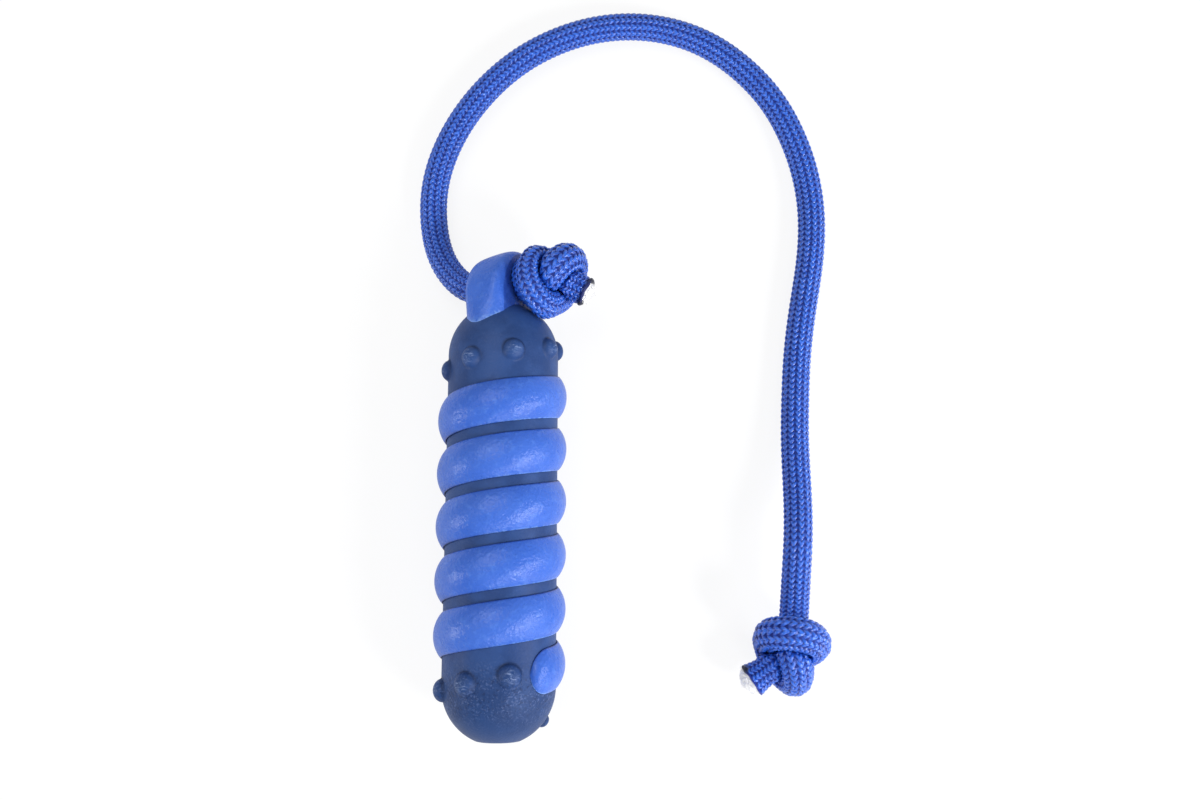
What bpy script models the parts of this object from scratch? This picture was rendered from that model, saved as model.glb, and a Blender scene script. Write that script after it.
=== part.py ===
"""Dog chew stick: a rubber stick with a moulded spiral band and a rope through its eye.

The stick lies along Y with its eye towards +Y, on a floor at z = 0, and the rope lies beside it.
The origin is on the floor, under the middle of the stick. All sizes are in metres.
"""

import math
from collections import namedtuple

import bmesh
import bpy
import numpy as np
from mathutils import Matrix, Vector
from mathutils.bvhtree import BVHTree

# Stick: a round-ended rubber bar, cut flat at its lower end.
CORE_RADIUS = 0.0222
CORE_LENGTH = 0.1735
FLAT_RADIUS = 0.0081

# Spiral band: one right-handed helix, crowned across its width and round at both tips.
BAND_PITCH = 0.0211
BAND_WIDTH = 0.0170
BAND_RISE = 0.0036
BAND_BASE = 0.0238
BAND_START = math.radians(36)
BAND_END = math.radians(2056)
BAND_TIP = math.radians(21)
BAND_CROWN = 0.85

# Nubs: moulded with the core, they carry on the band's line beyond both of its tips.
NUB_COUNT = 7
NUB_STEP = math.radians(45)
NUB_PHASE = math.radians(15)
NUB_RISE_LOW = 0.0030
NUB_RADIUS_LOW = 0.0045
NUB_LIFT_LOW = 0.0008
NUB_CLIMB_LOW = 0.0033
NUB_RISE_HIGH = 0.0026
NUB_RADIUS_HIGH = 0.0042
NUB_DROP_HIGH = 0.0015

# Rope eye: a crowned lug on the dome, bored right through from side to side.
EYE_RISE = 0.0220
EYE_TURN = math.radians(30)
EYE_WIDTH = 0.0180
EYE_HALF_SPAN = 0.0120
EYE_CROWN = 0.0060
EYE_CROWN_TOP = 0.0020
EYE_BORE_RADIUS = 0.0065
EYE_BORE_RISE = 0.0080

# Rope: a braided sheath round a white core, knotted at both ends.
ROPE_DIAMETER = 0.0120
ROPE_CORE_RADIUS = 0.0040
ROPE_SWELL = 1.2
ROPE_FLOOR_GAP = 0.0002
TAIL_SOCKET_DEPTH = 0.0030
TAIL_CORE_BULGE = 0.0013
RUN_START = -0.0033
RUN_STRAIGHT = 0.0145

# Room between two pieces that touch, and between the dome and the knot as it swings past.
SEAT_GAP = 0.0003
SWING_GAP = 0.0004

# Places that follow from the sizes above.
AXIS_HEIGHT = CORE_RADIUS + BAND_RISE
FLAT_Y = -(CORE_LENGTH + EYE_RISE) / 2
APEX_Y = FLAT_Y + CORE_LENGTH
LOW_CENTRE_Y = FLAT_Y + math.sqrt(CORE_RADIUS ** 2 - FLAT_RADIUS ** 2)
HIGH_CENTRE_Y = APEX_Y - CORE_RADIUS
EYE_ACROSS = Vector((math.cos(EYE_TURN), 0, math.sin(EYE_TURN)))
EYE_OUT = Vector((-math.sin(EYE_TURN), 0, math.cos(EYE_TURN)))
BORE_CENTRE = Vector((0, APEX_Y + EYE_BORE_RISE, AXIS_HEIGHT))

# Where the loose rope lies, from the eye's left mouth round to the end knot, in millimetres.
ROPE_ROUTE = (
    (-16.8, 85.6, 16.2), (-22.5, 91.0, 12.6), (-27.2, 98.0, 9.6), (-30.6, 106.5, 7.4),
    (-32.4, 115.5, 6.4), (-33.0, 125.0, 6.2), (-31.9, 137.0, 6.2), (-28.2, 150.0, 6.2),
    (-20.5, 165.5, 6.2), (-10.0, 179.5, 6.2), (3.0, 191.5, 6.2), (18.5, 200.8, 6.2),
    (36.0, 206.8, 6.2), (54.0, 208.6, 6.2), (72.0, 206.0, 6.2), (88.5, 199.0, 6.2),
    (103.0, 187.8, 6.2), (115.0, 173.5, 6.2), (124.0, 155.5, 6.2), (129.3, 136.5, 6.2),
    (130.9, 117.0, 6.2), (129.3, 98.0, 6.2), (126.0, 79.0, 6.2), (123.2, 60.0, 6.2),
    (121.5, 39.8, 7.2), (120.5, 21.6, 9.3), (120.2, 5.5, 12.4), (119.8, -8.5, 16.0),
)

# A knot: the turn of its open curve about the rope, where its tail is held, how far it leans and
# its size along its own three axes, then its middle and directions and where it is cut.
Knot = namedtuple("Knot", "turn tail_pull lean size middle right near ahead lead trim")
END_KNOT = Knot(math.radians(105), (-2.5, -0.6, 1.6), 0, (0.0090, 0.0076, 0.0101),
                Vector((0.1148, -0.0675, 0)), Vector((0.9963, -0.0854, 0)), Vector((0, 0, 1)),
                Vector((-0.0854, -0.9963, 0)), 0.030, 0.058)
STOP_KNOT = Knot(math.radians(130), (-1.5, -0.8, 2.8), math.radians(19), (0.0088, 0.0077, 0.0079),
                 BORE_CENTRE + EYE_ACROSS * 0.0208, Vector((0, 1, 0)), EYE_OUT, EYE_ACROSS,
                 0.0238, 0.088)

RUBBER_NAVY = ("navy_rubber", (0.030, 0.075, 0.215), 0.62)
RUBBER_BLUE = ("light_blue_rubber", (0.085, 0.205, 0.730), 0.48)
ROPE_BLUE = ("rope_sheath", (0.045, 0.100, 0.480), 0.70)
ROPE_WHITE = ("rope_core", (0.780, 0.790, 0.840), 0.85)


def clear_scene():
    for thing in list(bpy.data.objects):
        bpy.data.objects.remove(thing, do_unlink=True)


def material(recipe):
    name, colour, roughness = recipe
    made = bpy.data.materials.get(name)
    if made is None:
        made = bpy.data.materials.new(name)
        made.use_nodes = True
        shader = made.node_tree.nodes["Principled BSDF"]
        shader.inputs["Base Color"].default_value = (*colour, 1)
        shader.inputs["Roughness"].default_value = roughness
        shader.inputs["Metallic"].default_value = 0
    return made


def add_object(name, data, recipe=None):
    thing = bpy.data.objects.new(name, data)
    bpy.context.scene.collection.objects.link(thing)
    if recipe is not None:
        data.materials.append(material(recipe))
    return thing


def mesh_object(name, bm, recipe=None):
    bmesh.ops.recalc_face_normals(bm, faces=bm.faces)
    data = bpy.data.meshes.new(name)
    bm.to_mesh(data)
    bm.free()
    data.shade_smooth()
    data.set_sharp_from_angle(angle=math.radians(40))
    return add_object(name, data, recipe)


def make_cutter(thing):
    thing.hide_render = True
    thing.display_type = "WIRE"
    return thing


def boolean(target, other, operation):
    step = target.modifiers.new(operation.lower(), "BOOLEAN")
    step.operation = operation
    step.solver = "EXACT"
    step.object = other


def core_radius_at(y):
    """Radius of the core's surface at a place along the stick."""
    if y < LOW_CENTRE_Y:
        off = y - LOW_CENTRE_Y
    elif y > HIGH_CENTRE_Y:
        off = y - HIGH_CENTRE_Y
    else:
        off = 0.0
    return math.sqrt(max(CORE_RADIUS ** 2 - off ** 2, 0.0))


def core_normal_at(y):
    """Radial and lengthwise parts of the core's outward normal."""
    off = min(y - LOW_CENTRE_Y, 0.0) + max(y - HIGH_CENTRE_Y, 0.0)
    return core_radius_at(y) / CORE_RADIUS, off / CORE_RADIUS


def band_y(phi):
    """Middle of the band at an angle turned from straight up towards +X."""
    return FLAT_Y + BAND_BASE + BAND_PITCH * phi / math.tau


def around(phi, radius, y):
    return Vector((radius * math.sin(phi), y, AXIS_HEIGHT + radius * math.cos(phi)))


def core_profile():
    """Half outline of the core, from the rim of the flat end to the top of the dome."""
    rim = math.asin(FLAT_RADIUS / CORE_RADIUS)
    low = [rim + (math.pi / 2 - rim) * k / 7 for k in range(8)]
    high = [math.pi / 2 * k / 8 for k in range(9)]
    outline = [(CORE_RADIUS * math.sin(a), LOW_CENTRE_Y - CORE_RADIUS * math.cos(a)) for a in low]
    outline += [(CORE_RADIUS * math.cos(a), HIGH_CENTRE_Y + CORE_RADIUS * math.sin(a)) for a in high]
    return outline


def build_core():
    bm = bmesh.new()
    ring = [bm.verts.new((r, y, 0)) for r, y in core_profile()]
    edges = [bm.edges.new(pair) for pair in zip(ring, ring[1:])]
    bmesh.ops.spin(bm, geom=ring + edges, cent=(0, 0, 0), axis=(0, 1, 0), angle=math.tau, steps=48,
                   use_merge=True)
    bmesh.ops.remove_doubles(bm, verts=bm.verts, dist=0.00001)
    bmesh.ops.holes_fill(bm, edges=[e for e in bm.edges if e.is_boundary], sides=0)
    bmesh.ops.translate(bm, verts=bm.verts, vec=(0, 0, AXIS_HEIGHT))
    core = mesh_object("core_stick", bm, RUBBER_NAVY)
    boolean(core, build_nubs(), "UNION")
    return core


def nub_places():
    """Angle and place along the stick of every nub, and which end it is on."""
    first_high = math.ceil((BAND_END + 0.4 - NUB_PHASE) / NUB_STEP) * NUB_STEP + NUB_PHASE
    for k in range(NUB_COUNT):
        phi = NUB_PHASE - k * NUB_STEP
        climb = NUB_LIFT_LOW + NUB_CLIMB_LOW * phi / math.tau
        yield phi, band_y(phi) + climb, NUB_RADIUS_LOW, NUB_RISE_LOW
        phi = first_high + k * NUB_STEP
        yield phi, band_y(phi) - NUB_DROP_HIGH, NUB_RADIUS_HIGH, NUB_RISE_HIGH


def build_nubs():
    """All nubs in one guide: flattened balls centred on the core's surface."""
    bm = bmesh.new()
    for phi, y, radius, rise in nub_places():
        radial, along = core_normal_at(y)
        normal = Vector((radial * math.sin(phi), along, radial * math.cos(phi)))
        side = normal.cross(Vector((0, 1, 0))).normalized()
        other = normal.cross(side)
        turn = Matrix((side, other, normal)).transposed().to_4x4()
        place = Matrix.Translation(around(phi, core_radius_at(y), y))
        size = Matrix.Diagonal((radius, radius, rise, 1))
        bmesh.ops.create_uvsphere(bm, u_segments=14, v_segments=8, radius=1,
                                  matrix=place @ turn @ size)
    return make_cutter(mesh_object("nub_shapes", bm))


def band_stations():
    """Angles along the band, closer together at its round tips, with how full the band is there."""
    tip = (0.985, 0.93, 0.82, 0.66, 0.45, 0.22)
    step = math.radians(12)
    first = math.ceil((BAND_START + BAND_TIP) / step) * step
    last = math.floor((BAND_END - BAND_TIP) / step) * step
    for q in tip:
        yield BAND_START + BAND_TIP * (1 - q), math.sqrt(1 - q * q)
    for k in range(round((last - first) / step) + 1):
        yield first + k * step, 1.0
    for q in reversed(tip):
        yield BAND_END - BAND_TIP * (1 - q), math.sqrt(1 - q * q)


def build_band():
    """The band's crowned section is carried along the helix, over the core's own outline."""
    across = (-1, -0.9, -0.66, -0.33, 0, 0.33, 0.66, 0.9, 1)
    under = (1, 0.4, -0.4, -1)
    bm = bmesh.new()
    loops = []
    for phi, fullness in band_stations():
        middle = band_y(phi)
        half = BAND_WIDTH / 2 * fullness
        edge = (BAND_RISE - SEAT_GAP) * 0.12 * fullness
        loop = []
        for s in across:
            y = middle + s * half
            crown = (1 - s * s) ** BAND_CROWN * (BAND_RISE - SEAT_GAP - edge) * fullness ** 0.8
            loop.append(around(phi, core_radius_at(y) + SEAT_GAP + edge + crown, y))
        for s in under:
            y = middle + s * half
            loop.append(around(phi, core_radius_at(y) + SEAT_GAP, y))
        loops.append([bm.verts.new(p) for p in loop])
    count = len(loops[0])
    for one, two in zip(loops, loops[1:]):
        for k in range(count):
            n = (k + 1) % count
            bm.faces.new((one[k], one[n], two[n], two[k]))
    bm.faces.new(loops[0])
    bm.faces.new(reversed(loops[-1]))
    return mesh_object("spiral_band", bm, RUBBER_BLUE)


def eye_outline(side):
    """Outline of the lug at a share of its half width: an arch on two slightly flared legs."""
    swell = (1 - abs(side) ** 2.6) ** 0.5
    half = EYE_HALF_SPAN + EYE_CROWN * swell
    top = EYE_RISE - EYE_CROWN_TOP * (1 - swell)
    spring = 0.09 * EYE_RISE
    foot = -0.72 * EYE_RISE
    flare = 0.0015 * swell
    points = [(half + flare, foot)]
    for k in range(15):
        a = math.pi * k / 14
        c, s = math.cos(a), math.sin(a)
        points.append((half * c, spring + (top - spring) * s))
    points.append((-half - flare, foot))
    return points


def build_eye():
    bm = bmesh.new()
    loops = []
    for side in (-1, -0.93, -0.75, -0.45, 0, 0.45, 0.75, 0.93, 1):
        centre = Vector((0, APEX_Y, AXIS_HEIGHT)) + EYE_ACROSS * side * EYE_WIDTH / 2
        ring = [centre + EYE_OUT * u + Vector((0, h, 0)) for u, h in eye_outline(side)]
        loops.append([bm.verts.new(p) for p in ring])
    for one, two in zip(loops, loops[1:]):
        for k in range(len(one)):
            n = (k + 1) % len(one)
            bm.faces.new((one[k], one[n], two[n], two[k]))
    bm.faces.new(loops[0])
    bm.faces.new(reversed(loops[-1]))
    eye = mesh_object("rope_eye", bm, RUBBER_BLUE)
    boolean(eye, eye_dome_cutter(), "DIFFERENCE")
    boolean(eye, eye_bore_cutter(), "DIFFERENCE")
    return eye


def eye_dome_cutter():
    """The dome that the lug is moulded on, larger by the gap between the two pieces."""
    bm = bmesh.new()
    turn = Matrix.Rotation(math.pi / 2, 4, "X")
    place = Matrix.Translation((0, HIGH_CENTRE_Y, AXIS_HEIGHT))
    bmesh.ops.create_uvsphere(bm, u_segments=48, v_segments=32, radius=CORE_RADIUS + SEAT_GAP,
                              matrix=place @ turn)
    return make_cutter(mesh_object("eye_dome_cutter", bm))


def eye_bore_cutter():
    bm = bmesh.new()
    turn = EYE_ACROSS.to_track_quat("Z", "Y").to_matrix().to_4x4()
    bmesh.ops.create_cone(bm, cap_ends=True, segments=28, radius1=EYE_BORE_RADIUS,
                          radius2=EYE_BORE_RADIUS, depth=2 * EYE_WIDTH,
                          matrix=Matrix.Translation(BORE_CENTRE) @ turn)
    return make_cutter(mesh_object("eye_bore_cutter", bm))


def evenly(points, count):
    """The same line with its points a like distance apart, and its length."""
    steps = np.linalg.norm(np.diff(points, axis=0), axis=1)
    run = np.concatenate(([0.0], np.cumsum(steps)))
    marks = np.linspace(0, run[-1], count)
    return np.stack([np.interp(marks, run, points[:, k]) for k in range(3)], axis=1), run[-1]


def smooth_line(points, count):
    """A smooth curve through all points of a route, at even steps."""
    points = np.asarray(points, float)
    run = np.concatenate(([0.0], np.cumsum(np.linalg.norm(np.diff(points, axis=0), axis=1))))
    gap = np.diff(run)
    slope = np.diff(points, axis=0) / gap[:, None]
    n = len(points)
    left = np.eye(n)
    right = np.empty_like(points)
    right[0], right[-1] = slope[0], slope[-1]
    for k in range(1, n - 1):
        left[k, k - 1:k + 2] = gap[k], 2 * (gap[k - 1] + gap[k]), gap[k - 1]
        right[k] = 3 * (gap[k] * slope[k - 1] + gap[k - 1] * slope[k])
    tangent = np.linalg.solve(left, right)
    marks = np.linspace(0, run[-1], 3000)
    k = np.clip(np.searchsorted(run, marks, side="right") - 1, 0, n - 2)
    w = gap[k][:, None]
    u = ((marks - run[k])[:, None]) / w
    curve = (points[k] * (2 * u ** 3 - 3 * u ** 2 + 1) + points[k + 1] * (3 * u ** 2 - 2 * u ** 3)
             + w * tangent[k] * (u ** 3 - 2 * u ** 2 + u) + w * tangent[k + 1] * (u ** 3 - u ** 2))
    return evenly(curve, count)[0]


def pull_knot(turn, tail_pull, count=84, rounds=700, least_bend=0.62):
    """Centre line of an overhand knot pulled tight, where one strand is 1 thick.

    It starts as a wide open trefoil curve, turned about Z. Each round draws the line shorter,
    draws its two ends in to where they are held, and pushes apart strands nearer than 1. The
    rope comes in straight along +Z from below, and tail_pull is where its tail is held.
    """
    t = np.linspace(-2.1, 2.1, 400)
    x, y, z = 3 * t - t ** 3, t ** 4 - 4 * t ** 2 + 2, (t ** 5 / 5 - 2 * t) * 1.6
    c, s = math.cos(turn), math.sin(turn)
    line = 1.25 * np.stack([c * x - s * y, s * x + c * y, z], axis=1)
    wide = np.array([[0, 0, line[0, 2] - 2], [0, 0, line[-1, 2] + 2]])
    held = np.array([[0, 0, -3.2], tail_pull])
    line, length = evenly(np.vstack([wide[:1], line, wide[1:]]), count)
    one, two = np.triu_indices(count, 2)
    bend_reach = 2 * least_bend * math.asin(1 / (2 * least_bend))
    for step in range(rounds):
        ends = wide + (held - wide) * min(1, step / (0.3 * rounds))
        before = line.copy()
        for _ in range(30):
            line[1:-1] += 0.9 * ((line[:-2] + line[2:]) / 2 - line[1:-1])
            if np.abs(line - before).max() > 0.1:
                break
        line[0], line[-1] = ends
        line, length = evenly(line, count)
        apart = (two - one) * length / (count - 1)
        chord = 2 * least_bend * np.sin(np.minimum(apart / (2 * least_bend), math.pi / 2))
        room = np.where(apart < bend_reach, chord, 1.0)
        for _ in range(30):
            gap = line[two] - line[one]
            far = np.linalg.norm(gap, axis=1)
            tight = far < room * 0.999
            if not tight.any():
                break
            a, b, depth = one[tight], two[tight], room[tight] - far[tight]
            push = (0.5 * depth ** 2 / far[tight])[:, None] * gap[tight]
            weight = np.maximum(np.bincount(a, depth, count) + np.bincount(b, depth, count), 1e-9)
            for k in range(3):
                move = np.bincount(b, push[:, k], count) - np.bincount(a, push[:, k], count)
                line[:, k] += move / weight
            line[0], line[-1] = ends
    return line


def knot_line(knot, count=88):
    """Where a knot's centre line lies in the part, from the cut of its lead to the cut of its tail."""
    line = pull_knot(knot.turn, knot.tail_pull)
    lead = Vector(line[7] - line[0])
    straighten = np.array(lead.rotation_difference(Vector((0, 0, 1))).to_matrix())
    line = (line - line[0]) @ straighten.T - np.array((0, 0, 3.2))
    line = smooth_line(line[::2], 400)
    line = line[:round(len(line) * (1 - knot.trim))]
    share = np.clip((line[:, 2] + 1.35) / 0.9, 0, 1)
    share = (share ** 2 * (3 - 2 * share))[:, None]
    share[200:] = 1
    line = line * np.array(knot.size)
    leant = line @ np.array(Matrix.Rotation(knot.lean, 3, "Y")).T
    line = line * (1 - share) + leant * share
    line = np.vstack([[[0, 0, -knot.lead]], line[line[:, 2] > -knot.lead + 0.0005]])
    axes = np.array([knot.right, knot.near, knot.ahead])
    return evenly(line @ axes + np.array(knot.middle), count)[0]


def frames(line):
    """Direction and two side directions at each point, with no twist from one to the next."""
    ahead = np.gradient(line, axis=0)
    ahead /= np.linalg.norm(ahead, axis=1)[:, None]
    side = np.cross(ahead[0], (0.3, 0.2, 0.9))
    found = []
    for direction in ahead:
        side = side - direction * (side @ direction)
        side /= np.linalg.norm(side)
        found.append((direction, side, np.cross(direction, side)))
    return found


def room_by_dome(points):
    """Distance to the dome from points, wherever the rope's swing about the bore takes them."""
    off = points - np.array(BORE_CENTRE)
    along = off @ np.array(EYE_ACROSS)
    out = np.linalg.norm(off - along[..., None] * np.array(EYE_ACROSS), axis=-1)
    return np.hypot(out - (BORE_CENTRE.y - HIGH_CENTRE_Y), along) - CORE_RADIUS - SWING_GAP


def reach_to_dome(point, ways):
    """How far each direction leads from a point before it meets the swept dome."""
    tries = np.linspace(0, ROPE_DIAMETER / 2 * ROPE_SWELL, 29)
    room = room_by_dome(point + tries[:, None, None] * ways)
    hit = np.argmax(room < 0, axis=0)
    before, after = (room[k, np.arange(len(ways))] for k in (np.maximum(hit - 1, 0), hit))
    share = before / np.maximum(before - after, 1e-9)
    return np.where(hit > 0, tries[hit - 1] + share * tries[1], tries[-1])


def reach_to_eye(point, ways):
    """The same for the eye's flat side, which the knot is drawn up against."""
    across = (point - np.array(BORE_CENTRE)) @ np.array(EYE_ACROSS)
    off = np.linalg.norm(point - np.array(BORE_CENTRE + EYE_ACROSS * across))
    if across < EYE_WIDTH / 2 or off < 0.004:
        return np.full(len(ways), ROPE_DIAMETER)
    return (across - EYE_WIDTH / 2 - SEAT_GAP) / np.maximum(-ways @ np.array(EYE_ACROSS), 1e-9)


def strand_reach(line, k, ways):
    """How far the rope reaches in each direction where it is pressed flat, and swells elsewhere."""
    step = np.linalg.norm(line[1] - line[0])
    other = np.abs(np.arange(len(line)) - k) * step > 1.5 * ROPE_DIAMETER
    toward = line[other] - line[k]
    far = np.linalg.norm(toward, axis=1)
    along = np.maximum(toward @ ways.T, 1e-9)
    half = (far * (far / 2 - SEAT_GAP))[:, None] / along
    limit = np.minimum(ROPE_DIAMETER / 2 * ROPE_SWELL, half.min(axis=0, initial=1.0))
    limit = np.minimum(limit, reach_to_dome(line[k], ways))
    limit = np.minimum(limit, reach_to_eye(line[k], ways))
    a, b, c = line[max(k - 3, 0)], line[k], line[min(k + 3, len(line) - 1)]
    curl = (a + c - 2 * b) / (3 * step) ** 2
    inward = np.maximum(ways @ curl, 1e-9)
    limit = np.minimum(limit, 0.85 / inward)
    radius = ROPE_DIAMETER / 2
    for _ in range(8):
        reach = np.minimum(radius, limit)
        radius *= ROPE_DIAMETER / 2 / math.sqrt((reach * np.roll(reach, 1)).mean())
    return np.minimum(radius, limit)


def least_gap(rings, line):
    """Least distance from the points of one strand of a knot to the faces of its other strands."""
    step = np.linalg.norm(line[1] - line[0])
    points = [v.co.copy() for ring in rings for v in ring]
    sides = len(rings[0])
    least = 1.0
    for k in range(len(line)):
        faces = []
        for n in range(len(line) - 1):
            if min(abs(n - k), abs(n + 1 - k)) * step > 1.5 * ROPE_DIAMETER:
                faces += [(n * sides + m, n * sides + (m + 1) % sides, (n + 1) * sides + (m + 1) % sides,
                           (n + 1) * sides + m) for m in range(sides)]
        if faces:
            tree = BVHTree.FromPolygons(points, faces)
            least = min(least, min(tree.find_nearest(v.co)[3] for v in rings[k]))
    return least


def build_knot(name, line, sides=16):
    """The knot as one closed tube, with a socket in its tail for the end of the core."""
    bm = bmesh.new()

    def ring(middle, ways, reach):
        return [bm.verts.new(middle + r * way) for way, r in zip(ways, reach)]

    rings = []
    for middle, ways, reach in knot_rings(line, sides):
        rings.append(ring(middle, ways, reach))
    hollow = np.full(sides, ROPE_CORE_RADIUS + SEAT_GAP)
    ahead = frames(line)[-1][0]
    print(f"{name}: least gap to itself {least_gap(rings, line) * 1000:.2f} mm")
    rings.append(ring(line[-1], ways, hollow))
    rings.append(ring(line[-1] - ahead * TAIL_SOCKET_DEPTH, ways, hollow))
    for one, two in zip(rings, rings[1:]):
        for k in range(sides):
            n = (k + 1) % sides
            bm.faces.new((one[k], one[n], two[n], two[k]))
    bm.faces.new(reversed(rings[0]))
    bm.faces.new(rings[-1])
    return mesh_object(name, bm, ROPE_BLUE)


def build_tail_core(name, line):
    """The white core at a cut tail: a plug in the sheath that bulges out a little."""
    outline = ((4.0, -2.7), (4.0, -0.1), (3.7, 0.5), (2.7, 1.0), (1.3, 1.25))
    direction, side, other = frames(line)[-1]
    bm = bmesh.new()
    rings = []
    for radius, along in outline:
        radius = radius / 4.0 * ROPE_CORE_RADIUS
        middle = line[-1] + direction * along / 1000
        angles = np.arange(16) * math.tau / 16
        rings.append([bm.verts.new(middle + radius * (math.cos(a) * side + math.sin(a) * other))
                      for a in angles])
    for one, two in zip(rings, rings[1:]):
        for k in range(16):
            n = (k + 1) % 16
            bm.faces.new((one[k], one[n], two[n], two[k]))
    tip = bm.verts.new(line[-1] + direction * TAIL_CORE_BULGE)
    for k in range(16):
        bm.faces.new((rings[-1][k], rings[-1][(k + 1) % 16], tip))
    bm.faces.new(reversed(rings[0]))
    return mesh_object(name, bm, ROPE_WHITE)


def knot_rings(line, sides=16):
    """Directions about the centre line, and how far the rope reaches in each, point by point."""
    turned = [(math.cos(a), math.sin(a)) for a in np.arange(sides) * math.tau / sides]
    for k, (_, side, other) in enumerate(frames(line)):
        ways = np.array([c * side + s * other for c, s in turned])
        yield line[k], ways, strand_reach(line, k, ways)


def on_floor(line):
    """Lets a knot down until it just clears the floor."""
    low = min((middle[2] + ways[:, 2] * reach).min() for middle, ways, reach in knot_rings(line))
    return line + np.array([0, 0, ROPE_FLOOR_GAP - low])


def run_line(end_line):
    """The loose rope, from inside the eye to the end knot's lead, straight at both ends."""
    mouth = [BORE_CENTRE + EYE_ACROSS * v for v in (RUN_START, -0.007, -0.011, -RUN_STRAIGHT)]
    back = -np.array(END_KNOT.ahead)
    last = [end_line[0] + back * far for far in (ROPE_DIAMETER, 0.006, SEAT_GAP)]
    middle = [np.array(p) / 1000 for p in ROPE_ROUTE]
    return smooth_line([np.array(p) for p in mouth] + middle + last, 79)


def build_run(line):
    curve = bpy.data.curves.new("rope_run", "CURVE")
    curve.dimensions = "3D"
    curve.resolution_u = 1
    curve.bevel_depth = ROPE_DIAMETER / 2
    curve.bevel_resolution = 2
    curve.use_fill_caps = True
    spline = curve.splines.new("POLY")
    spline.points.add(len(line) - 1)
    for point, place in zip(spline.points, line):
        point.co = (*place, 1)
    return add_object("rope_run", curve, ROPE_BLUE)


def main():
    clear_scene()
    build_core()
    build_band()
    build_eye()
    stop_line = knot_line(STOP_KNOT)
    end_line = on_floor(knot_line(END_KNOT))
    build_knot("stop_knot", stop_line)
    build_knot("end_knot", end_line)
    build_tail_core("stop_tail_core", stop_line)
    build_tail_core("end_tail_core", end_line)
    build_run(run_line(end_line))


main()
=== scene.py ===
# %% [markdown]
# # A dog's chew stick on a throwing rope
#
# The toy is a dark rubber bar with a lighter band moulded round it like a screw thread, rows of
# nubs beyond both ends of the band, and a rubber eye at the top. A braided rope goes through the
# eye. One knot keeps it from slipping out, and a second knot at its far end is the grip.
#
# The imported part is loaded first. It has every size and place, and never moves. The pieces made
# below are laid over it in metres, so nothing has to be fitted by eye.

import math
from collections import namedtuple

import bmesh
import bpy
import numpy as np
from mathutils import Matrix, Vector


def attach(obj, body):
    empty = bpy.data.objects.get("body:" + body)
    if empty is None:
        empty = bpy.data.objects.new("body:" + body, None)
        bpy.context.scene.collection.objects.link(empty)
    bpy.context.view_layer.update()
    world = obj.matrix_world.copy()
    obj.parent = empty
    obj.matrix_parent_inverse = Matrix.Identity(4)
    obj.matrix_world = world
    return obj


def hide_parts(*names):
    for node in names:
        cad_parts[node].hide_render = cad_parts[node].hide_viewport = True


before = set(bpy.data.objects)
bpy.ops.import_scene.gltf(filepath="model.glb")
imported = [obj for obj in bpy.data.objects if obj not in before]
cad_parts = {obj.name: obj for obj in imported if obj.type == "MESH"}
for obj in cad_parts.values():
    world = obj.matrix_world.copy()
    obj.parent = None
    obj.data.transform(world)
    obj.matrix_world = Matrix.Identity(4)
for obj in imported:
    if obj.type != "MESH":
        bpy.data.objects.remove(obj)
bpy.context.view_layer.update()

# %% [markdown]
# ## Camera
#
# The photograph was taken from almost straight above, from about half a metre away, so that the
# near, upper surfaces look a little larger than the floor round them. An orthographic camera
# would lose that. A 35 mm lens, tilted by ten degrees, gives the same lines as the photograph.

# %% The camera
camera = bpy.data.objects.new("camera", bpy.data.cameras.new("camera"))
camera.data.lens = 35.46
camera.data.sensor_width = 36
camera.location = (0.0393, -0.04805, 0.497)
camera.rotation_euler = (math.radians(10.09), 0, 0)
bpy.context.scene.collection.objects.link(camera)
bpy.context.scene.camera = camera
print("camera, mm above the floor:", round(camera.location.z * 1000))

# %% [markdown]
# ## Where the stick lies
#
# The rope is made first, and it has to lie clear of the stick, so the stick's main sizes come
# before it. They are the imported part's own. The stick lies along Y with its eye at the far end.
# The eye is turned about that axis, so two directions are named: through its hole, and from side
# to side of its arch. A place that is written with them stays right if the turn is changed.

# %% The stick's sizes and directions
CORE_RADIUS, CORE_LENGTH, FLAT_RADIUS = 0.0222, 0.1735, 0.0081
BAND_RISE = 0.0036
EYE_RISE, EYE_TURN, EYE_WIDTH, EYE_BORE_RISE = 0.0220, math.radians(30), 0.0180, 0.0080
SEAT_GAP, SWING_GAP = 0.0003, 0.0004

AXIS_HEIGHT = CORE_RADIUS + BAND_RISE
FLAT_Y = -(CORE_LENGTH + EYE_RISE) / 2
APEX_Y = FLAT_Y + CORE_LENGTH
LOW_CENTRE_Y = FLAT_Y + math.sqrt(CORE_RADIUS ** 2 - FLAT_RADIUS ** 2)
HIGH_CENTRE_Y = APEX_Y - CORE_RADIUS
EYE_ACROSS = Vector((math.cos(EYE_TURN), 0, math.sin(EYE_TURN)))
EYE_OUT = Vector((-math.sin(EYE_TURN), 0, math.cos(EYE_TURN)))
BORE_CENTRE = Vector((0, APEX_Y + EYE_BORE_RISE, AXIS_HEIGHT))
eye_across, bore_centre = np.array(EYE_ACROSS), np.array(BORE_CENTRE)
print("axis of the stick, mm above the floor:", round(AXIS_HEIGHT * 1000, 1))
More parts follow.
